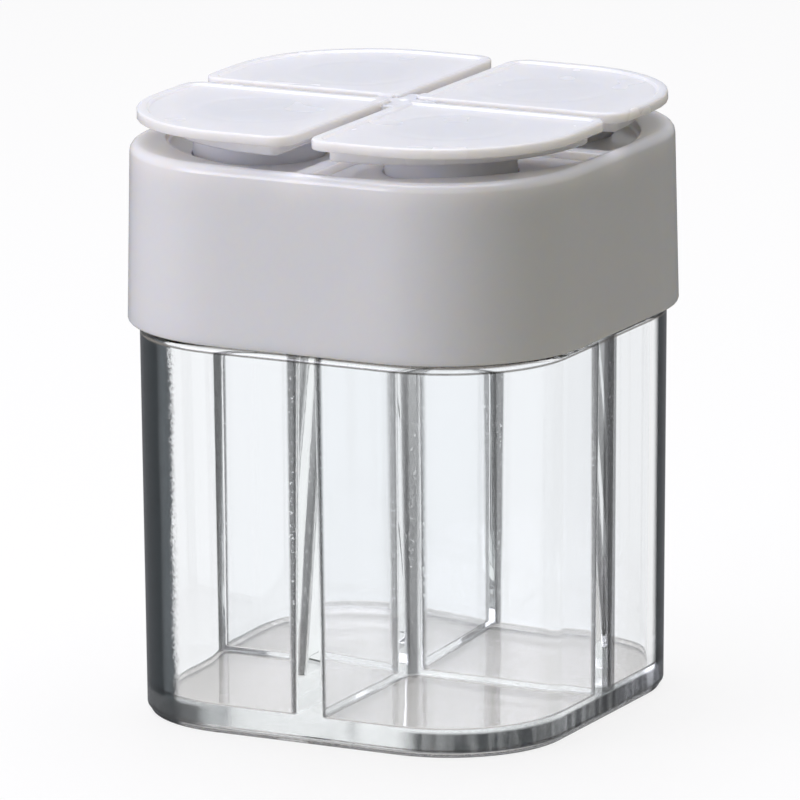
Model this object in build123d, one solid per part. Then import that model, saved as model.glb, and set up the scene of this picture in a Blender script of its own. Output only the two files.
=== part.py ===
from build123d import *
import os
from math import radians, tan

# A square spice dispenser: a clear jar with four chambers, a white shaker cap that slips over its
# neck, and four
# flaps that swing up from a hub at the middle of the cap.
# Millimetres, +Z up, X and Y along the sides, origin at the middle of the base.

# Jar
jar_width = 60.0
jar_corner_radius = 16.5
body_height = 52.6
neck_height = 21.3
neck_step = 0.9
neck_corner_radius = 16.8
shoulder_rounding = 1.0
foot_height = 0.7
foot_inset = 0.5
foot_width = 2.2
mould_draft = 0.5

# Chambers
floor_thickness = 3.4
wall_thickness = 2.6
divider_thickness = 3.8
chamber_corner_radius = 14.5
chamber_side_radius = 0.5
chamber_heel_radius = 1.0
chamber_draft = 0.9
floor_rounding = 0.4

# Snap beads on the neck
bead_radius = 0.6
bead_length = 16.0
bead_drop = 14.9

# Cap
cap_side_clearance = 0.6
cap_seat_clearance = 0.1
shoulder_gap = 0.4
cap_wall = 1.9
cap_draft = 1.2
cap_corner_radius = 20.3
cap_top_rounding = 1.3
cap_lip_rounding = 0.4
plate_thickness = 1.5
rim_height = 1.5
rim_width = 1.4
recess_straight = 5.18
rib_width = 2.6
rib_height = 1.1
pad_radius = 4.2

# Skirts under the cap plate that plug the chamber mouths
skirt_clearance = 0.2
skirt_wall = 1.0
skirt_depth = 2.5

# Shaker cups
cup_radius = 8.9
cup_wall = 1.2
cup_depth = 2.3
cup_floor = 1.0
cup_offset_to_hub = 0.5
shaker_hole_radius = 1.5
shaker_hole_circle = 5.0
shaker_hole_count = 6

# Flaps
slit_width = 2.6
flap_inset = 0.8
flap_corner_radius = 19.4
flap_side_radius = 3.0
flap_heel_radius = 0.6
flap_thickness = 1.4
flap_edge_rounding = 0.3
panel_border = 1.3
panel_depth = 0.3
flap_air_gap = 1.5
boss_height = 1.6
boss_wall = 1.2
boss_outer_straight = 0.49
boss_inner_straight = 0.1
boss_inner_inset = 2.4
boss_outer_inset = 1.9
plug_mouth_clearance = 0.15
plug_tip_clearance = 0.45
plug_reach = 1.2
plug_wall = 1.3

# Hub and hinges
pin_radius = 0.35
pin_inset = 0.15
pin_clearance = 0.08
pin_start = 2.0
pin_length = 2.2
arm_side_clearance = 0.15
arm_end_cover = 0.2
post_radius = 2.9
post_top_clearance = 0.2
spigot_radius = 1.8
spigot_depth = 2.0
spigot_clearance = 0.02
spigot_end_clearance = 0.1
dimple_radius = 0.7
dimple_depth = 0.25

# Heights worked out from the sizes above
shoulder_z = body_height
neck_top_z = shoulder_z + neck_height
cap_bottom_z = shoulder_z + shoulder_gap
plate_z = neck_top_z + cap_seat_clearance
recess_z = plate_z + plate_thickness
cap_top_z = recess_z + rim_height
rib_top_z = recess_z + rib_height
boss_z = cap_top_z + flap_air_gap
flap_z = boss_z + boss_height
flap_top_z = flap_z + flap_thickness
hinge_z = flap_top_z - pin_radius
post_top_z = flap_z - post_top_clearance

# Half widths worked out from the sizes above
jar_half = jar_width / 2
shoulder_half = jar_half + (body_height - foot_height) * tan(radians(mould_draft))
neck_half = shoulder_half - neck_step
chamber_inner = divider_thickness / 2
chamber_outer = jar_half - wall_thickness
chamber_growth = (neck_top_z - floor_thickness) * tan(radians(chamber_draft))
mouth_inner = chamber_inner - chamber_growth
mouth_outer = chamber_outer + chamber_growth
mouth_corner_radius = chamber_corner_radius + chamber_growth
cavity_growth = (plate_z - cap_bottom_z) * tan(radians(cap_draft))
cavity_half = neck_half + cap_side_clearance + cavity_growth
cavity_corner_radius = cap_corner_radius - cap_wall
cap_half = cavity_half + cap_wall
cap_shrink = (cap_top_z - cap_bottom_z) * tan(radians(cap_draft))
cap_top_half = cap_half - cap_shrink
recess_half = cap_top_half - rim_width
recess_corner_radius = recess_half - recess_straight / 2
cup_centre = (mouth_inner + mouth_outer) / 2 - cup_offset_to_hub
flap_half = cap_top_half - flap_inset
slit_half = slit_width / 2
hinge_x = slit_half - pin_inset
arm_half = slit_half - arm_side_clearance
arm_length = pin_start + pin_length + arm_end_cover

# Quarter turns that carry the +X +Y quarter to each flap's place
flap_turns = {
    "flap_back_right": 0,
    "flap_back_left": 90,
    "flap_front_left": 180,
    "flap_front_right": 270,
}


def rounded_square(half, radius):
    return RectangleRounded(2 * half, 2 * half, radius)


def quarter_outline(inner, outer, corner, side, heel):
    """A square in the +X +Y quarter: corner is the radius far from the middle, heel the one beside it."""
    middle = (inner + outer) / 2
    side_length = outer - inner
    outline = Pos(middle, middle) * Rectangle(side_length, side_length)
    rounds = (
        ((inner, inner, 0), heel),
        ((outer, outer, 0), corner),
        ((outer, inner, 0), side),
        ((inner, outer, 0), side),
    )
    for point, radius in rounds:
        outline = fillet(outline.vertices().sort_by_distance(point)[0], radius)
    return outline


def four_times(shape):
    return [Rot(0, 0, turn) * shape for turn in flap_turns.values()]


def lifted(height, sketch, amount, taper=0):
    return Pos(0, 0, height) * extrude(sketch, amount, taper=taper)


def chamber_space():
    outline = quarter_outline(
        chamber_inner, chamber_outer, chamber_corner_radius, chamber_side_radius, chamber_heel_radius
    )
    space = lifted(floor_thickness, outline, neck_top_z - floor_thickness, -chamber_draft)
    return fillet(space.faces().sort_by(Axis.Z)[0].edges(), floor_rounding)


def snap_bead():
    return Pos(neck_half, 0, neck_top_z - bead_drop) * Rot(90, 0, 0) * Cylinder(bead_radius, bead_length)


def make_jar():
    body = lifted(
        foot_height, rounded_square(jar_half, jar_corner_radius), body_height - foot_height, -mould_draft
    )
    body = fillet(body.faces().sort_by(Axis.Z)[-1].edges(), shoulder_rounding)
    foot_half = jar_half - foot_inset
    foot_radius = jar_corner_radius - foot_inset
    foot = rounded_square(foot_half, foot_radius)
    foot -= rounded_square(foot_half - foot_width, foot_radius - foot_width)
    jar = body + lifted(0, foot, foot_height)
    jar += lifted(shoulder_z - shoulder_rounding, rounded_square(neck_half, neck_corner_radius),
                  neck_height + shoulder_rounding)
    for bead in four_times(snap_bead()):
        jar += bead
    for space in four_times(chamber_space()):
        jar -= space
    return jar


def mouth_skirt():
    def ring_outline(inset):
        return quarter_outline(
            mouth_inner + inset,
            mouth_outer - inset,
            mouth_corner_radius - inset,
            max(chamber_side_radius + chamber_growth - inset, 0.2),
            max(chamber_heel_radius + chamber_growth - inset, 0.2),
        )

    ring = ring_outline(skirt_clearance) - ring_outline(skirt_clearance + skirt_wall)
    return lifted(plate_z - skirt_depth, ring, skirt_depth)


def shaker_cup():
    floor_z = recess_z - cup_depth
    return Pos(cup_centre, cup_centre, floor_z - cup_floor) * Cylinder(
        cup_radius + cup_wall, cup_depth + cup_floor, align=(Align.CENTER, Align.CENTER, Align.MIN)
    )


def shaker_cup_space():
    floor_z = recess_z - cup_depth
    at_floor = Pos(cup_centre, cup_centre, floor_z)
    standing = (Align.CENTER, Align.CENTER, Align.MIN)
    hanging = (Align.CENTER, Align.CENTER, Align.MAX)
    space = at_floor * Cylinder(cup_radius, cup_depth, align=standing)
    hole = Cylinder(shaker_hole_radius, cup_floor, align=hanging)
    space += at_floor * hole
    for place in PolarLocations(shaker_hole_circle, shaker_hole_count):
        space += at_floor * place * hole
    return space


def make_cap():
    cap = lifted(
        cap_bottom_z,
        rounded_square(cap_half, cap_corner_radius),
        cap_top_z - cap_bottom_z,
        cap_draft,
    )
    cap = fillet(cap.faces().sort_by(Axis.Z)[-1].edges(), cap_top_rounding)
    cap = fillet(cap.faces().sort_by(Axis.Z)[0].edges(), cap_lip_rounding)
    cap -= lifted(
        cap_bottom_z, rounded_square(cavity_half, cavity_corner_radius), plate_z - cap_bottom_z, cap_draft
    )
    recess = rounded_square(recess_half, recess_corner_radius)
    ribs = Rectangle(2 * recess_half, rib_width) + Rectangle(rib_width, 2 * recess_half) + Circle(pad_radius)
    cap -= lifted(recess_z, recess, rim_height)
    cap += lifted(recess_z, ribs & recess, rib_height)
    for skirt in four_times(mouth_skirt()):
        cap += skirt
    for cup in four_times(shaker_cup()):
        cap += cup
    for space in four_times(shaker_cup_space()):
        cap -= space
    socket_depth = spigot_depth + spigot_end_clearance
    cap -= lifted(rib_top_z - socket_depth, Circle(spigot_radius + spigot_clearance), socket_depth)
    return cap


def hinge_cylinder(radius, start, length):
    """A cylinder on the hinge line of the flap in the +X +Y quarter."""
    return Pos(hinge_x, start + length / 2, hinge_z) * Rot(90, 0, 0) * Cylinder(radius, length)


def make_hub():
    arms = Rectangle(2 * arm_length, 2 * arm_half) + Rectangle(2 * arm_half, 2 * arm_length)
    hub = lifted(post_top_z, arms, hinge_z - post_top_z)
    hub += lifted(rib_top_z, Circle(post_radius), post_top_z - rib_top_z)
    hub += lifted(rib_top_z - spigot_depth, Circle(spigot_radius), spigot_depth)
    for socket in four_times(hinge_cylinder(pin_radius + pin_clearance, pin_start, arm_length - pin_start)):
        hub -= socket
    hub -= Pos(0, 0, hinge_z) * Cone(
        dimple_radius / 2, dimple_radius, dimple_depth, align=(Align.CENTER, Align.CENTER, Align.MAX)
    )
    return hub


def flap_plug():
    """A ring whose outside narrows to its tip, so that it swings clear of the cup."""
    mouth_radius = cup_radius - plug_mouth_clearance
    tip_radius = cup_radius - plug_tip_clearance
    bore_radius = tip_radius - plug_wall + (plug_tip_clearance - plug_mouth_clearance)
    tip_z = recess_z - plug_reach
    profile = Polyline(
        (bore_radius, tip_z), (tip_radius, tip_z), (mouth_radius, recess_z), (mouth_radius, flap_z),
        (bore_radius, flap_z), close=True
    )
    return Pos(cup_centre, cup_centre, 0) * revolve(Plane.XZ * make_face(profile), Axis.Z)


def make_flap():
    """The flap over the +X +Y chamber."""
    def inset_outline(inner_inset, outer_inset, corner_radius):
        return quarter_outline(
            slit_half + inner_inset,
            flap_half - outer_inset,
            corner_radius,
            max(flap_side_radius - outer_inset, 0.3),
            max(flap_heel_radius - inner_inset, 0.3),
        )

    def boss_outline(inner_inset, outer_inset, straight):
        """An outline whose corner rounding leaves this much straight beside the side rounding."""
        side_length = flap_half - outer_inset - slit_half - inner_inset
        side_radius = max(flap_side_radius - outer_inset, 0.3)
        return inset_outline(inner_inset, outer_inset, side_length - side_radius - straight)

    flap = lifted(flap_z, inset_outline(0, 0, flap_corner_radius), flap_thickness)
    flap = fillet(flap.faces().sort_by(Axis.Z)[-1].edges(), flap_edge_rounding)
    panel = inset_outline(panel_border, panel_border, flap_corner_radius - panel_border)
    flap -= lifted(flap_top_z - panel_depth, panel, panel_depth)
    boss = boss_outline(boss_inner_inset, boss_outer_inset, boss_outer_straight)
    boss -= boss_outline(boss_inner_inset + boss_wall, boss_outer_inset + boss_wall, boss_inner_straight)
    flap += lifted(boss_z, boss, boss_height)
    flap += flap_plug()
    flap += hinge_cylinder(pin_radius, pin_start, pin_length)
    return flap


def main():
    nodes = {"jar_body": make_jar(), "shaker_cap": make_cap(), "flap_hub": make_hub()}
    flap = make_flap()
    for name, turn in flap_turns.items():
        nodes[name] = Rot(0, 0, turn) * flap
    os.makedirs("parts", exist_ok=True)
    for name, shape in nodes.items():
        export_step(shape, f"parts/{name}.step")


main()
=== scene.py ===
import bpy
import math
import numpy as np
from mathutils import Matrix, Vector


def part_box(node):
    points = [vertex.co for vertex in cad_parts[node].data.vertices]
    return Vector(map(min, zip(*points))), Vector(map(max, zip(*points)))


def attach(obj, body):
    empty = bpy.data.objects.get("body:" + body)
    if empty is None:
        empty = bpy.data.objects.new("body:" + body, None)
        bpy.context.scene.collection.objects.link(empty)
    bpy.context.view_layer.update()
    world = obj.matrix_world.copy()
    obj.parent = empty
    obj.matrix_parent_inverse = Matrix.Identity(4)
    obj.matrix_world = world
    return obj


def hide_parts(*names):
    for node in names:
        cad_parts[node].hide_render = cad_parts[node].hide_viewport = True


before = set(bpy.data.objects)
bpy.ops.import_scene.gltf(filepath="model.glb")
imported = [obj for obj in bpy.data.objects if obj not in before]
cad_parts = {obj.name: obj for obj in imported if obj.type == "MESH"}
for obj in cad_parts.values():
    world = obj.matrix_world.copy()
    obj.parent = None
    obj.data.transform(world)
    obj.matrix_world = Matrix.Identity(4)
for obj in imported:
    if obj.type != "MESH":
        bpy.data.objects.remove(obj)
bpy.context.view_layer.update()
print("frame loaded,", len(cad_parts), "nodes")

mm = 0.001
jarHigh = np.array(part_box("jar_body")[1]) / mm
capLow, capHigh = (np.array(corner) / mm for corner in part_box("shaker_cap"))
flapHigh = np.array(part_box("flap_back_right")[1]) / mm
hubLow, hubHigh = (np.array(corner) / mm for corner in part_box("flap_hub"))
quarters = {"back_right": 0, "back_left": 1, "front_left": 2, "front_right": 3}


# Loops and profiles, in millimetres. A solid is a stack of closed loops, one row of points for each height

def boxLoops(rect, radii, profile, extra=0.0, arcSteps=12, sideSteps=5):
    # For each (inset, height) of the profile, a rectangle with round corners: four quarter circles of radius
    # minus inset, joined by even steps along the sides
    inset = profile[:, 0][:, None]
    x0, x1, y0, y1 = rect
    r = np.maximum(np.array(radii)[None, :] - inset + np.reshape(extra, (-1, 1)), 0.12)
    outX = np.array([x1, x0, x0, x1])[None, :] + inset * np.array([-1, 1, 1, -1])
    outY = np.array([y1, y1, y0, y0])[None, :] + inset * np.array([-1, -1, 1, 1])
    centreX = outX + r * np.array([-1, 1, 1, -1])
    centreY = outY + r * np.array([-1, -1, 1, 1])
    angles = np.linspace(0, math.pi / 2, arcSteps)[None, :] + np.arange(4)[:, None] * math.pi / 2
    arcs = np.stack([centreX[:, :, None] + r[:, :, None] * np.cos(angles),
                     centreY[:, :, None] + r[:, :, None] * np.sin(angles)], axis=3)
    starts, ends = arcs[:, :, -1:, :], np.roll(arcs[:, :, :1, :], -1, axis=1)
    share = (np.arange(1, sideSteps) / sideSteps)[None, None, :, None]
    flat = np.concatenate([arcs, starts * (1 - share) + ends * share], axis=2)
    flat = flat.reshape(len(profile), -1, 2)
    height = np.broadcast_to(profile[:, 1][:, None, None], flat.shape[:2] + (1,))
    return np.concatenate([flat, height], axis=2)


def roundLoops(centre, profile, steps=64):
    # For each (radius, height) of the profile, a circle about an upright axis
    angles = np.arange(steps) * 2 * math.pi / steps
    radius = profile[:, 0][:, None]
    return np.stack([centre[0] + radius * np.cos(angles), centre[1] + radius * np.sin(angles),
                     np.broadcast_to(profile[:, 1][:, None], (len(profile), steps))], axis=2)


def rodLoops(centre, y0, y1, radius, domed, stations=9, steps=24):
    # A rod along Y: circles whose radius falls to each domed end as a quarter of an ellipse
    t = np.linspace(0, math.pi, stations)
    y = (y0 + y1) / 2 - np.cos(t) * (y1 - y0) / 2
    fromEnd = np.minimum(y - y0, y1 - y) / max(domed, 0.001)
    r = radius * np.sqrt(np.clip(1 - (1 - np.clip(fromEnd, 0.02, 1)) ** 2, 0, 1))
    angles = np.arange(steps) * 2 * math.pi / steps
    return np.stack([centre[0] + r[:, None] * np.cos(angles), np.broadcast_to(y[:, None], (stations, steps)),
                     centre[1] - r[:, None] * np.sin(angles)], axis=2)


def roundedProfile(corners, steps=5):
    # A run of straight lines through (across, height, rounding), each inner corner replaced by an arc that
    # touches both lines: its ends lie rounding / tan(half the corner) from the corner
    rows = np.array([row if len(row) == 3 else (*row, 0.0) for row in corners], float)
    at, rounding = rows[:, :2], rows[1:-1, 2]
    back, ahead = at[:-2] - at[1:-1], at[2:] - at[1:-1]
    back /= np.linalg.norm(back, axis=1)[:, None]
    ahead /= np.linalg.norm(ahead, axis=1)[:, None]
    half = np.arccos(np.clip((back * ahead).sum(1), -1, 1)) / 2
    middle = back + ahead
    middle /= np.maximum(np.linalg.norm(middle, axis=1), 1e-9)[:, None]
    centre = at[1:-1] + middle * (rounding / np.sin(half))[:, None]
    reach = (rounding / np.tan(half))[:, None]
    first, last = at[1:-1] + back * reach - centre, at[1:-1] + ahead * reach - centre
    sweep = (math.pi - 2 * half)[:, None, None]
    t = np.linspace(0, 1, steps)[None, :, None]
    arcs = centre[:, None, :] + (np.sin((1 - t) * sweep) * first[:, None, :]
                                 + np.sin(t * sweep) * last[:, None, :]) / np.sin(sweep)
    path = np.concatenate([at[:1], arcs.reshape(-1, 2), at[-1:]])
    apart = np.linalg.norm(np.diff(path, axis=0), axis=1) > 1e-4
    return path[np.concatenate([[True], apart])]


def turned(points, quarter):
    # Quarter turns about the upright axis
    angle = quarter * math.pi / 2
    c, s = round(math.cos(angle)), round(math.sin(angle))
    x, y, z = np.moveaxis(points, -1, 0)
    return np.stack([c * x - s * y, s * x + c * y, z], axis=-1)


def solid(name, loops, ring=False):
    # Quads between neighbouring loops. The first and last loops are filled, or joined in a ring
    rows, count = loops.shape[:2]
    index = np.arange(rows * count).reshape(rows, count)
    if ring:
        index = np.concatenate([index, index[:1]])
    low, high = index[:-1], index[1:]
    quads = np.stack([low, np.roll(low, -1, 1), np.roll(high, -1, 1), high], axis=2).reshape(-1, 4)
    points = loops.reshape(-1, 3)
    a, b, c, d = (points[quads[:, k]] for k in range(4))
    volume = (np.cross(a, b) * c).sum() + (np.cross(a, c) * d).sum()
    faces = quads.tolist()
    if not ring:
        for loop, flip in ((loops[0], True), (loops[-1], False)):
            mid = loop.mean(0)
            signed = (np.cross(loop, np.roll(loop, -1, 0)) * mid).sum()
            volume += -signed if flip else signed
        faces += [index[0, ::-1].tolist(), index[-1].tolist()]
    if volume < 0:
        faces = [face[::-1] for face in faces]
    mesh = bpy.data.meshes.new(name)
    mesh.from_pydata((points * mm).tolist(), [], faces)
    mesh.update()
    piece = bpy.data.objects.new(name, mesh)
    bpy.context.scene.collection.objects.link(piece)
    return piece


def applied(piece):
    # The piece's mesh becomes what its modifiers make of it
    bpy.context.view_layer.update()
    graph = bpy.context.evaluated_depsgraph_get()
    source = piece.evaluated_get(graph)
    result = bpy.data.meshes.new_from_object(source, preserve_all_data_layers=True, depsgraph=graph)
    piece.modifiers.clear()
    spare = piece.data
    piece.data = result
    bpy.data.meshes.remove(spare)


def combined(piece, others, operation):
    # Joins solids to a piece, or cuts them from it, one after the other
    for other in others:
        step = piece.modifiers.new("combine", "BOOLEAN")
        step.object, step.operation, step.solver = other, operation, "EXACT"
        applied(piece)
        bpy.data.meshes.remove(other.data)
    return piece


def finished(piece, body, node, material, crease=32):
    # Smooth shading with hard creases and flat faces kept flat, then the piece takes its CAD node's place
    piece.data.shade_smooth()
    piece.data.set_sharp_from_angle(angle=math.radians(crease))
    piece.modifiers.new("weighted", "WEIGHTED_NORMAL").keep_sharp = True
    applied(piece)
    piece.data.materials.clear()
    piece.data.materials.append(material)
    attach(piece, body)
    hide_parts(node)
    return piece


# Shader maths: a socket that can be used in sums

class Value:
    def __init__(self, shader, socket):
        self.shader = shader
        self.socket = socket

    def maths(self, operation, *values):
        return self.shader.node("ShaderNodeMath", {"operation": operation}, values)

    def __add__(self, other):
        return self.maths("ADD", self, other)

    def __radd__(self, other):
        return self.maths("ADD", other, self)

    def __sub__(self, other):
        return self.maths("SUBTRACT", self, other)

    def __rsub__(self, other):
        return self.maths("SUBTRACT", other, self)

    def __mul__(self, other):
        return self.maths("MULTIPLY", self, other)

    def __rmul__(self, other):
        return self.maths("MULTIPLY", other, self)

    def __truediv__(self, other):
        return self.maths("DIVIDE", self, other)

    def __pow__(self, other):
        return self.maths("POWER", self, other)

    def __abs__(self):
        return self.maths("ABSOLUTE", self)

    def least(self, other):
        return self.maths("MINIMUM", self, other)

    def most(self, other):
        return self.maths("MAXIMUM", self, other)


class Shader:
    def __init__(self, tree):
        self.tree = tree
        self.tree.nodes.clear()

    def node(self, kind, settings=None, sockets=(), output=0):
        # Any node: its settings first, then the values or links of its sockets, by place or by name
        made = self.tree.nodes.new(kind)
        for key, value in (settings or {}).items():
            setattr(made, key, value)
        pairs = sockets.items() if isinstance(sockets, dict) else enumerate(sockets)
        for key, value in pairs:
            if isinstance(value, Value):
                self.tree.links.new(value.socket, made.inputs[key])
            else:
                made.inputs[key].default_value = value
        return Value(self, made.outputs[output])

    def place(self):
        return self.node("ShaderNodeTexCoord", output="Object")

    def axes(self, place):
        split = self.node("ShaderNodeSeparateXYZ", None, [place])
        return [Value(self, split.socket.node.outputs[k]) for k in range(3)]

    def noise(self, place, perMillimetre, detail=3, roughness=0.5):
        return self.node("ShaderNodeTexNoise", None, {"Vector": place, "Scale": perMillimetre / mm,
                                                      "Detail": detail, "Roughness": roughness})

    def between(self, value, low, high, start=0.0, end=1.0):
        return self.node("ShaderNodeMapRange", {"interpolation_type": "SMOOTHSTEP"},
                         [value, low, high, start, end])

    def blend(self, factor, first, second):
        # Colours by factor, from the first to the second. The mixer takes them at its sockets 6 and 7, and
        # gives the result at its output 2
        ends = [c if isinstance(c, Value) else (*c, 1) for c in (first, second)]
        return self.node("ShaderNodeMix", {"data_type": "RGBA"}, {0: factor, 6: ends[0], 7: ends[1]}, 2)

    def bump(self, height, distance, strength=1.0):
        return self.node("ShaderNodeBump", None, {"Height": height, "Distance": distance * mm,
                                                  "Strength": strength})

    def finish(self, surface, volume=None, kind="ShaderNodeOutputMaterial"):
        output = self.tree.nodes.new(kind)
        self.tree.links.new(surface.socket, output.inputs["Surface"])
        if volume:
            self.tree.links.new(volume.socket, output.inputs["Volume"])


def newMaterial(name):
    material = bpy.data.materials.new(name)
    material.use_nodes = True
    return material, Shader(material.node_tree)


# White plastic: glossy, light passes a little way in, with a faint grain, a lighter colour on sharp edges
# and uneven polish

whitePlastic = {
    "cap": {"colour": (0.90, 0.89, 0.90), "sharpEdgeColour": (0.94, 0.93, 0.935), "roughness": 0.15, "scuffed": 0.03,
            "depth": 4.0},
    "flap": {"colour": (0.91, 0.90, 0.91), "sharpEdgeColour": (0.95, 0.94, 0.945), "roughness": 0.26, "scuffed": 0.02,
             "depth": 4.0},
}


def whitePlasticMaterial(name, look):
    material, shader = newMaterial(name)
    place = shader.place()
    cloudy = shader.noise(place, 0.05, 4)
    fine = shader.noise(place, 0.5, 2)
    polish = shader.noise(place, 0.12, 1)
    # Sharp convex edges take a lighter colour
    edge = shader.node("ShaderNodeNewGeometry", output="Pointiness")
    sharpEdges = shader.between(edge, 0.52, 0.62)
    tone = shader.between(cloudy, 0.3, 0.7, 0, 0.5)
    colour = shader.blend(tone, look["colour"], [c * 0.97 for c in look["colour"]])
    colour = shader.blend(sharpEdges * 0.7, colour, look["sharpEdgeColour"])
    roughness = look["roughness"] + look["scuffed"] * polish
    height = 0.7 * fine + 0.3 * cloudy
    surface = shader.node("ShaderNodeBsdfPrincipled", None, {
        "Base Color": colour, "Roughness": roughness, "IOR": 1.5, "Subsurface Weight": 1.0,
        "Subsurface Radius": (1.0, 0.86, 0.66), "Subsurface Scale": look["depth"] * mm,
        "Normal": shader.bump(height, 0.02, 0.4)})
    shader.finish(surface)
    return material


# Clear plastic: slightly grey, with grain on the small inner corners and painted shade: dark bands where the
# corners turn away. The bands are placed to follow the photograph from its own side

# Of these colours, the near-black and the dark greys are painted shade, the grey of the slanted edges also
# colours the grain, and the warm floor colour is a painted reflection
clearPlastic = {
    "tint": (0.974, 0.983, 0.992), "edge": (0.0006, 0.0010, 0.0012), "turnedAwayShade": (0.011, 0.014, 0.016),
    "grey": (0.012, 0.013, 0.014), "line": (0.05, 0.043, 0.036), "floor": (0.92, 0.88, 0.85),
    "ior": 1.55, "roughness": 0.01, "absorb": (0.85, 0.90, 0.89), "density": 8.0}
# Where each mask begins and ends, in millimetres from the axes or the ground, or as a share of turning away.
# Two more numbers are the values it has there
maskEnds = {
    "cornerCentre": 13.5, "outerSkin": (15.3, 15.7), "column": (3.5, 2.7),
    "columnFade": (70.0, 20.0, 0.7, 1.0),
    "sideNear": (2.8, 2.3), "sideInner": (26.5, 26.9), "sideOuter": (28.9, 28.6), "aboveFloor": (3.2, 3.6),
    "foot": (0.95, 0.6), "speckle": (0.36, 0.56), "bandTurn": (0.33, 0.40), "bandNear": (17.5, 20.0),
    "leftTurn": (0.46, 0.54), "leftNear": (16.0, 18.5), "rightTurn": (0.56, 0.62), "rightNear": (13.0, 15.0),
    "slant": (0.30, 0.48), "slabTop": (3.7, 3.2), "slabFoot": (0.6, 0.9), "slabCorner": (13.0, 17.0),
    "slabStreaks": (0.2, 0.6, 0.85, 1.0), "dividerNear": (2.1, 1.7), "lowLine": (51.45, 51.6),
    "lowLineEnd": (51.9, 51.75), "highLine": (52.1, 52.35), "highLineEnd": (53.2, 52.9),
    "floorReflection": (3.6, 3.45)}


def clearPlasticMaterial(name, look):
    material, shader = newMaterial(name)

    def mask(value, ends):
        return shader.between(value, *maskEnds[ends])

    place = shader.place()
    x, y, z = shader.axes(place)
    near = abs(x).least(abs(y)) / mm
    far = abs(x).most(abs(y)) / mm
    height = z / mm
    grain = shader.noise(place, 2.6, 3, 0.7)
    upright = shader.node("ShaderNodeMapping", None, {"Vector": place, "Scale": (1, 1, 0.12)})
    streaks = shader.noise(upright, 0.5, 3)
    facing = shader.node("ShaderNodeLayerWeight", None, {"Blend": 0.5}, 1)
    entering = 1 - shader.node("ShaderNodeNewGeometry", output="Backfacing")
    # How far out a point lies, measured so that each wall of the jar is at one distance all round
    farPast = (far - maskEnds["cornerCentre"]).most(0)
    nearPast = (near - maskEnds["cornerCentre"]).most(0)
    outside = mask((farPast * farPast + nearPast * nearPast) ** 0.5, "outerSkin")
    # Fillets that show the mould's grain: round the middle column, where each divider meets a side, and at
    # the foot
    heel = mask(far, "column") * mask(height, "columnFade")
    sides = mask(near, "sideNear") * mask(far, "sideInner") * mask(far, "sideOuter")
    inner = heel.most(sides) * mask(height, "aboveFloor")
    foot = mask(height, "foot")
    speckle = mask(grain + 0.25 * streaks, "speckle")
    # Painted shade: seen from outside, the rounded corners are painted darker where they turn away: a grey
    # band with a grainy inner boundary, then a nearly black one
    shown = outside * entering
    rough = 0.12 * (grain - 0.5) + 0.10 * (streaks - 0.5)
    turnedAway = mask(facing + rough, "bandTurn") * mask(near, "bandNear") * shown
    leftEdge = mask(facing + 0.3 * rough, "leftTurn") * mask(near, "leftNear")
    rightEdge = mask(facing + 0.3 * rough, "rightTurn") * mask(near, "rightNear")
    edgeShade = leftEdge.most(rightEdge) * shown
    # Painted shade: the edge of the floor and the ends of the dividers are painted darker where they are
    # seen at a slant
    slanted = mask(facing + rough, "slant")
    edgeOn = shown * mask(height, "slabTop") * mask(height, "slabFoot")
    slabShade = edgeOn * slanted.most(mask(near, "slabCorner")) * mask(streaks, "slabStreaks")
    dividerEndShade = shown * slanted * mask(near, "dividerNear") * mask(height, "aboveFloor")
    # The shoulder is a silver line, with painted shade: a darker line painted on each side
    lower = mask(height, "lowLine") * mask(height, "lowLineEnd")
    shoulder = outside * lower.most(mask(height, "highLine")) * mask(height, "highLineEnd")
    # Painted reflection: the tops of the chamber floors take a warm colour for the warm surroundings they
    # reflect
    floorReflection = mask(height, "floorReflection") * (1 - outside)
    colour = shader.blend(floorReflection, look["tint"], look["floor"])
    # Painted shade: a grey band where the corners turn away
    colour = shader.blend(turnedAway, colour, look["turnedAwayShade"])
    # Painted shade: near-black where the corners are seen nearly edge-on
    colour = shader.blend(edgeShade, colour, look["edge"])
    # Painted shade: dark grey on the slanted floor edge and the divider ends
    colour = shader.blend(slabShade.most(dividerEndShade * 0.9), colour, look["grey"])
    # Painted shade: the dark lines beside the shoulder
    colour = shader.blend(shoulder * 0.95, colour, look["line"])
    colour = shader.blend((inner * 0.95).most(foot * 0.5) * speckle, colour, look["grey"])
    bump = shader.bump((inner + foot + 0.25 * turnedAway) * grain + 0.03 * streaks, 0.07, 1.0)
    surface = shader.node("ShaderNodeBsdfPrincipled", None, {
        "Base Color": colour, "Roughness": look["roughness"] + 0.10 * foot, "IOR": look["ior"],
        "Transmission Weight": 1.0, "Normal": bump})
    absorption = {"Color": (*look["absorb"], 1), "Density": look["density"]}
    shader.finish(surface, shader.node("ShaderNodeVolumeAbsorption", None, absorption))
    return material


whiteCap = whitePlasticMaterial("white cap plastic", whitePlastic["cap"])
whiteFlap = whitePlasticMaterial("white flap plastic", whitePlastic["flap"])
clearJar = clearPlasticMaterial("clear jar plastic", clearPlastic)
print("materials made")


# Jar: one closed body with four chambers cut into it

jar = {"half": 30.0, "corner": 16.5, "draft": 0.5, "shoulder": 52.6, "shoulderRound": 1.0, "neckStep": 0.9,
       "neckCorner": 16.8, "foot": 0.7, "footInset": 0.5, "footWidth": 2.2, "floor": 3.4, "wall": 2.6,
       "divider": 3.8, "chamberCorner": 14.5, "chamberSide": 0.5, "chamberHeel": 1.0, "chamberDraft": 0.9,
       "floorRound": 0.4, "mouthRound": 0.35, "bead": 0.6, "beadLength": 16.0, "beadDrop": 14.9}


def chamberGrowth():
    # How much wider a chamber is at its mouth than at its floor, on each side
    return (jarHigh[2] - jar["floor"]) * math.tan(math.radians(jar["chamberDraft"]))


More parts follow.
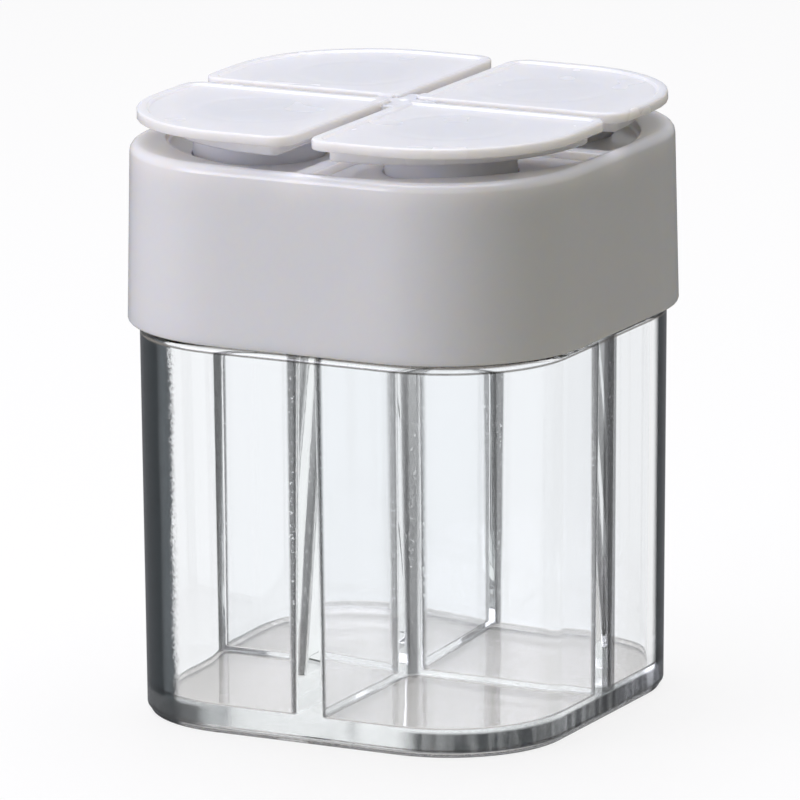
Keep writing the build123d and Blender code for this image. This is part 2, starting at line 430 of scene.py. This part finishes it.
def makeJar():
    slope = math.tan(math.radians(jar["draft"]))
    top = jarHigh[2]
    grown = (jar["shoulder"] - jar["foot"]) * slope
    neck = jar["neckStep"] - grown
    footInner = jar["footInset"] + jar["footWidth"]
    profile = roundedProfile([
        (footInner + 1, jar["foot"]), (footInner, jar["foot"], 0.2),
        (footInner, 0, 0.15), (jar["footInset"], 0, 0.2),
        (jar["footInset"], jar["foot"], 0.08), (0, jar["foot"], 0.3),
        (-grown, jar["shoulder"], jar["shoulderRound"]), (neck, jar["shoulder"], 0.15),
        (neck, top, jar["mouthRound"]), (neck + 1.0, top)])
    extra = np.where(profile[:, 1] > jar["shoulder"] + 0.05, jar["neckCorner"] - (jar["corner"] - neck), 0.0)
    half = jar["half"]
    body = solid("jar", boxLoops((-half, half, -half, half), [jar["corner"]] * 4, profile, extra, 16, 6))
    reach = top - jar["beadDrop"]
    bead = rodLoops((half - neck, reach), -jar["beadLength"] / 2, jar["beadLength"] / 2, jar["bead"], 0.6)
    combined(body, [solid("bead", turned(bead, k)) for k in quarters.values()], "UNION")
    inner, outer = jar["divider"] / 2, half - jar["wall"]
    growth = chamberGrowth()
    space = roundedProfile([(2.6, jar["floor"]), (0, jar["floor"], jar["floorRound"]),
                            (-growth, top - jar["mouthRound"]), (-growth - 0.25, top + 0.05),
                            (-growth - 0.25, top + 2)], 6)
    radii = [jar["chamberCorner"], jar["chamberSide"], jar["chamberHeel"], jar["chamberSide"]]
    loops = boxLoops((inner, outer, inner, outer), radii, space, 0, 16, 6)
    return combined(body, [solid("space", turned(loops, k)) for k in quarters.values()], "DIFFERENCE")


finished(makeJar(), "jar", "jar_body", clearJar)
print("jar made")


# Cap: a tapered shell with a recessed top, a cross rib, four shaker cups and rims that plug the chambers

cap = {"half": 32.493, "corner": 20.3, "draft": 1.2, "wall": 1.9, "plateUnder": 74.0, "plate": 1.5,
       "topRound": 1.3, "lipRound": 0.4, "rim": 1.4, "recessCorner": 28.0, "rimRound": 0.35,
       "ribWidth": 2.6, "ribHeight": 1.1, "pad": 4.2, "cupCentre": 14.15, "cupRadius": 8.9, "cupWall": 1.2,
       "cupDepth": 2.3, "cupFloor": 1.0, "hole": 1.5, "holeCircle": 5.0, "holes": 6,
       "skirtGap": 0.2, "skirtWall": 1.0, "skirtDepth": 2.5, "socket": 1.82, "socketDepth": 2.1}


def makeCap():
    low, top = capLow[2], capHigh[2]
    slope = math.tan(math.radians(cap["draft"]))
    half, under = cap["half"], cap["plateUnder"]
    floor = under + cap["plate"]
    narrowed = (top - low) * slope
    plateInset = cap["wall"] + (under - low) * slope
    outside = roundedProfile([(plateInset + 1.5, under), (plateInset, under, 0.4), (cap["wall"], low, 0.3),
                              (0, low, cap["lipRound"]), (narrowed, top, cap["topRound"]),
                              (narrowed + 1.5, top)])
    outside = outside[:-1]
    recess = half - narrowed - cap["rim"]
    inside = roundedProfile([(-0.5, top), (0, top, cap["rimRound"]), (0, floor, 0.4), (1.5, floor)])
    shell = np.concatenate([
        boxLoops((-half, half, -half, half), [cap["corner"]] * 4, outside, 0, 16, 6),
        boxLoops((-recess, recess, -recess, recess), [cap["recessCorner"]] * 4, inside, 0, 16, 6)])
    body = solid("cap", shell)
    rib, ribTop = cap["ribWidth"] / 2, floor + cap["ribHeight"]
    ribSide = roundedProfile([(0, floor - 0.5), (0, ribTop, 0.2), (0.4, ribTop)])
    long = recess + 0.4
    bars = [solid("rib", boxLoops(rect, [0.3] * 4, ribSide, 0, 4, 3))
            for rect in ((-long, long, -rib, rib), (-rib, rib, -long, long))]
    padTop = ribTop - 0.01
    padSide = roundedProfile([(cap["pad"], floor - 0.45), (cap["pad"], padTop, 0.2), (3, padTop)])
    bars.append(solid("pad", roundLoops((0, 0), padSide)))
    combined(body, bars, "UNION")
    centre = (cap["cupCentre"], cap["cupCentre"])
    cupLow, cupTop = floor - cap["cupDepth"] - cap["cupFloor"], floor - cap["cupDepth"]
    cupOuter = cap["cupRadius"] + cap["cupWall"]
    cupOutside = roundedProfile([(cap["cupRadius"] - 1, cupLow), (cupOuter, cupLow, 0.4),
                                 (cupOuter, under + 0.6)])
    cupInside = roundedProfile([(cap["cupRadius"] - 1, cupTop), (cap["cupRadius"], cupTop, 0.4),
                                (cap["cupRadius"], floor + 0.02, 0.25),
                                (cap["cupRadius"] + 0.6, floor + 0.02),
                                (cap["cupRadius"] + 0.6, top + 2)])
    holeSide = np.array([[cap["hole"], cupLow - 1], [cap["hole"], cupTop + 0.5]])
    around = np.arange(cap["holes"]) * 2 * math.pi / cap["holes"]
    ring = cap["holeCircle"]
    holeCentres = [centre]
    holeCentres += [(centre[0] + ring * math.cos(a), centre[1] + ring * math.sin(a)) for a in around]
    growth = chamberGrowth()
    mouthInner = jar["divider"] / 2 - growth
    mouthOuter = jar["half"] - jar["wall"] + growth
    gap, wall = cap["skirtGap"], cap["skirtWall"]
    skirtSide = np.array([[gap, under + 0.5], [gap, under - cap["skirtDepth"]],
                          [gap + wall, under - cap["skirtDepth"]], [gap + wall, under + 0.5]])
    chamberRadii = (jar["chamberCorner"], jar["chamberSide"], jar["chamberHeel"], jar["chamberSide"])
    skirtRadii = [r + growth for r in chamberRadii]
    skirt = boxLoops((mouthInner, mouthOuter, mouthInner, mouthOuter), skirtRadii, skirtSide, 0, 10, 3)
    for k in quarters.values():
        combined(body, [solid("cup", turned(roundLoops(centre, cupOutside, 72), k)),
                        solid("skirt", turned(skirt, k), ring=True)], "UNION")
        cuts = [solid("cupSpace", turned(roundLoops(centre, cupInside, 72), k))]
        cuts += [solid("hole", turned(roundLoops(at, holeSide, 24), k)) for at in holeCentres]
        combined(body, cuts, "DIFFERENCE")
    socket = np.array([[cap["socket"], ribTop - cap["socketDepth"]], [cap["socket"], ribTop + 1]])
    return combined(body, [solid("socket", roundLoops((0, 0), socket, 40))], "DIFFERENCE")


finished(makeCap(), "cap", "shaker_cap", whiteCap)
print("cap made")


# Hub: a post with four arms, a groove along each arm for a hinge bead and a dimple on top

hinge = {"x": 1.15, "radius": 0.35, "groove": 0.43, "start": 2.0, "length": 2.2}
hub = {"armHalf": 1.15, "armLength": 4.4, "post": 2.9, "postLow": 76.6, "armLow": 79.9, "spigot": 1.8,
       "dimple": 0.7, "dimpleDepth": 0.25}


def makeHub():
    top = hubHigh[2]
    side = roundedProfile([(0.3, hub["armLow"]), (0, hub["armLow"], 0.1), (0, top, 0.12), (0.4, top)])
    long, half = hub["armLength"], hub["armHalf"]
    body = solid("hub", boxLoops((-long, long, -half, half), [0.3] * 4, side, 0, 6, 6))
    across = solid("arm", boxLoops((-half, half, -long, long), [0.3] * 4, side, 0, 6, 6))
    postSide = roundedProfile([(hub["spigot"] - 0.4, hubLow[2]), (hub["spigot"], hubLow[2], 0.2),
                               (hub["spigot"], hub["postLow"]), (hub["post"], hub["postLow"]),
                               (hub["post"], hub["armLow"], 0.2), (2.0, hub["armLow"] + 0.02)])
    combined(body, [across, solid("post", roundLoops((0, 0), postSide))], "UNION")
    groove = rodLoops((hinge["x"], top), hinge["start"], hub["armLength"] + 1, hinge["groove"], 0.0)
    dimple = np.array([[hub["dimple"] / 2, top - hub["dimpleDepth"]], [hub["dimple"], top + 0.01],
                       [hub["dimple"], top + 1]])
    cuts = [solid("groove", turned(groove, k)) for k in quarters.values()]
    return combined(body, cuts + [solid("dimple", roundLoops((0, 0), dimple, 32))], "DIFFERENCE")


finished(makeHub(), "cap", "flap_hub", whiteFlap)
print("hub made")


# Flaps: a plate with a sunk panel, and under it a boss and a plug ring

flap = {"slit": 1.3, "corner": 19.4, "side": 3.0, "heel": 0.6, "under": 80.1, "edgeRound": 0.3,
        "border": 1.3, "sunk": 0.3, "bossLow": 78.5, "bossWall": 1.2, "bossInner": 2.4, "bossOuter": 1.9,
        "bossCorner": 24.0, "plugLow": 74.3, "plugMouth": 75.5, "plugTipRadius": 8.45, "plugRadius": 8.75,
        "plugBore": 7.45,
        "sinkRadius": 8.1, "sinkWidth": 0.9, "sinkDepth": 0.035}


def panelLoops(rect, radii, top):
    # From the panel's outline to a circle over the cup, each loop part of the way between the two, then
    # circles down to the middle. A shallow ring sinks as a bell curve of the distance from the cup's middle
    centre = np.array([cap["cupCentre"]] * 2)
    outline = boxLoops(rect, radii, np.array([[0.0, top]]), 0, 12, 5)[0, :, :2]
    away = outline - centre
    angles = np.arctan2(away[:, 1], away[:, 0])
    circle = np.stack([np.cos(angles), np.sin(angles)], axis=1)
    wide = 10.4
    t = np.linspace(0, 1, 6)[:, None, None]
    outerLoops = centre + away * (1 - t) + circle * wide * t
    radii = np.concatenate([np.linspace(wide, 6.0, 14)[1:], [4.0, 2.0, 0.6]])[:, None, None]
    flat = np.concatenate([outerLoops, centre + circle * radii])
    distance = np.linalg.norm(flat - centre, axis=2)
    dip = flap["sinkDepth"] * np.exp(-((distance - flap["sinkRadius"]) / flap["sinkWidth"]) ** 2)
    dip[0] = 0
    return np.concatenate([flat, (top - dip)[:, :, None]], axis=2)


def makeFlap(name, quarter):
    slit, reach, top = flap["slit"], flapHigh[0], flapHigh[2]
    radii = [flap["corner"], flap["side"], flap["heel"], flap["side"]]
    sunk = top - flap["sunk"]
    rim = roundedProfile([(1.2, flap["under"]), (0, flap["under"], 0.2), (0, top, flap["edgeRound"]),
                          (flap["border"], top, 0.15), (flap["border"] + 0.35, sunk, 0.15),
                          (flap["border"] + 0.6, sunk)])
    rect = (slit, reach, slit, reach)
    panelInset = flap["border"] + 0.6
    loops = boxLoops(rect, radii, rim, 0, 12, 5)[:-1]
    panelRect = (slit + panelInset, reach - panelInset, slit + panelInset, reach - panelInset)
    panel = panelLoops(panelRect, np.maximum(np.array(radii) - panelInset, 0.12), sunk)
    body = solid(name, turned(np.concatenate([loops, panel]), quarter))
    shift = flap["bossInner"] - flap["bossOuter"]
    bossRect = (slit + shift, reach, slit + shift, reach)
    low, wall, inset = flap["bossLow"], flap["bossWall"], flap["bossOuter"]
    bossSide = np.array([[inset, flap["under"] + 0.3], [inset, low + 0.2], [inset + 0.2, low],
                         [inset + wall - 0.15, low], [inset + wall, low + 0.15],
                         [inset + wall, flap["under"] + 0.3]])
    bossRadii = [flap["bossCorner"] + inset, flap["side"], 2.0, flap["side"]]
    boss = boxLoops(bossRect, bossRadii, bossSide, 0, 14, 5)
    bore, tip, mouth, plugLow = flap["plugBore"], flap["plugTipRadius"], flap["plugRadius"], flap["plugLow"]
    plugTop = flap["under"] + 0.35
    plugSide = np.array([[bore, plugTop], [bore, plugLow + 0.25], [bore + 0.2, plugLow],
                         [tip - 0.25, plugLow], [tip, plugLow + 0.2], [mouth, flap["plugMouth"]],
                         [mouth, plugTop]])
    plug = roundLoops((cap["cupCentre"], cap["cupCentre"]), plugSide, 72)
    bead = rodLoops((hinge["x"], top - hinge["radius"]), hinge["start"], hinge["start"] + hinge["length"],
                    hinge["radius"], 0.12)
    parts = [solid("boss", turned(boss, quarter), ring=True),
             solid("plug", turned(plug, quarter), ring=True),
             solid("bead", turned(bead, quarter))]
    return combined(body, parts, "UNION")


for name, quarter in quarters.items():
    finished(makeFlap("flap_top_" + name, quarter), "flap_" + name, "flap_" + name, whiteFlap)
print("flaps made")


# Studio: a pale floor, surroundings that are white for the camera and clear plastic and grey for gloss, soft
# lamps, and the camera at the photograph's angle

studio = {"floorSize": 6.0, "floorColour": (0.85, 0.85, 0.86), "bounce": (0.36, 0.35, 0.30),
          "shown": (1.03, 1.03, 1.03), "through": (1.02, 1.02, 1.02), "share": 0.80, "throughShare": 0.92,
          "floorGloss": (0.16, 0.16, 0.17), "backGloss": (0.50, 0.50, 0.51), "fill": 0.17,
          "fillColour": (1.0, 0.96, 0.78)}
lamps = {
    "front softbox": {"from": (-0.56, -0.74, 0.25), "away": 0.75, "size": (0.55, 0.40), "watts": 3.1,
                      "colour": (0.925, 0.895, 1.0)},
    "top softbox": {"from": (-0.1, 0.15, 1.0), "away": 0.8, "size": (0.8, 0.8), "watts": 7.5,
                    "colour": (0.93, 0.92, 1.0)},
    "fill softbox": {"from": (0.42, -0.88, 0.14), "away": 0.8, "size": (0.4, 0.3), "watts": 0.2,
                     "colour": (1.0, 0.95, 0.84)},
}
camera = {"azimuth": 26.94, "elevation": 12.85, "away": 1.2928, "aim": (0, 0, 0.040), "focalPixels": 9689.0,
          "roll": -0.0059, "principal": (405.0, 402.6), "picture": 800}


def lightPath(shader):
    rays = shader.node("ShaderNodeLightPath")
    return {name: Value(shader, rays.socket.node.outputs[name])
            for name in ("Is Camera Ray", "Is Glossy Ray", "Is Transmission Ray")}


def background(shader, gloss):
    # What gloss, clear plastic and the camera see behind the object, and which rays see it
    rays = lightPath(shader)
    colour = shader.blend(rays["Is Transmission Ray"], gloss, studio["through"])
    colour = shader.blend(rays["Is Camera Ray"], colour, studio["shown"])
    return colour, rays["Is Camera Ray"].most(rays["Is Glossy Ray"]).most(rays["Is Transmission Ray"]), rays


def makeFloor():
    size = studio["floorSize"] / 2
    mesh = bpy.data.meshes.new("floor")
    corners = [(-size, -size, 0), (size, -size, 0), (size, size, 0), (-size, size, 0)]
    mesh.from_pydata(corners, [], [(0, 1, 2, 3)])
    floor = bpy.data.objects.new("floor", mesh)
    bpy.context.scene.collection.objects.link(floor)
    material, shader = newMaterial("pale floor")
    colour, seen, rays = background(shader, studio["floorGloss"])
    pale = shader.blend(seen, studio["bounce"], studio["floorColour"])
    lit = shader.node("ShaderNodeBsdfPrincipled", None, {"Base Color": pale, "Roughness": 0.5})
    glow = shader.node("ShaderNodeEmission", None, {"Color": colour, "Strength": 1.0})
    extra = studio["throughShare"] - studio["share"]
    share = seen * (studio["share"] + extra * (1 - rays["Is Camera Ray"]))
    shader.finish(shader.node("ShaderNodeMixShader", None, [share, lit, glow]))
    mesh.materials.append(material)


def makeWorld():
    world = bpy.data.worlds.new("studio")
    bpy.context.scene.world = world
    world.use_nodes = True
    shader = Shader(world.node_tree)
    colour, seen, _ = background(shader, studio["backGloss"])
    colour = shader.blend(seen, [studio["fill"] * c for c in studio["fillColour"]], colour)
    glow = shader.node("ShaderNodeBackground", None, {"Color": colour, "Strength": 1.0})
    shader.finish(glow, kind="ShaderNodeOutputWorld")


def makeLamps():
    for name, lamp in lamps.items():
        light = bpy.data.lights.new(name, "AREA")
        light.shape = "RECTANGLE"
        light.size, light.size_y = lamp["size"]
        light.energy, light.color = lamp["watts"], lamp["colour"]
        back = np.array(lamp["from"]) / np.linalg.norm(lamp["from"])
        place = bpy.data.objects.new(name, light)
        place.matrix_world = facing(back, back * lamp["away"] + np.array([0, 0, 0.05]))
        bpy.context.scene.collection.objects.link(place)


def facing(back, at, roll=0.0):
    # A matrix whose Z axis is back, whose X axis is level, and which is rolled about Z
    right = np.cross([0, 0, 1], back)
    right /= np.linalg.norm(right)
    up = np.cross(back, right)
    c, s = math.cos(roll), math.sin(roll)
    columns = np.stack([c * right + s * up, c * up - s * right, back, at], axis=1)
    return Matrix([*columns.tolist(), (0, 0, 0, 1)])


def makeCamera():
    az, el = math.radians(camera["azimuth"]), math.radians(camera["elevation"])
    back = np.array([math.sin(az) * math.cos(el), -math.cos(az) * math.cos(el), math.sin(el)])
    lens = bpy.data.cameras.new("camera")
    lens.sensor_width = 36.0
    lens.lens = lens.sensor_width * camera["focalPixels"] / camera["picture"]
    middle = camera["picture"] / 2
    lens.shift_x = (middle - camera["principal"][0]) / camera["picture"]
    lens.shift_y = (camera["principal"][1] - middle) / camera["picture"]
    lens.clip_start, lens.clip_end = 0.01, 20
    place = bpy.data.objects.new("camera", lens)
    place.matrix_world = facing(back, back * camera["away"] + np.array(camera["aim"]), camera["roll"])
    bpy.context.scene.collection.objects.link(place)
    bpy.context.scene.camera = place


makeFloor()
makeWorld()
makeLamps()
makeCamera()
scene = bpy.context.scene
scene.view_settings.view_transform = "Standard"
scene.cycles.max_bounces = 32
scene.cycles.transmission_bounces = 32
scene.cycles.glossy_bounces = 16
scene.cycles.diffuse_bounces = 8
scene.cycles.sample_clamp_indirect = 3.0
print("studio made")
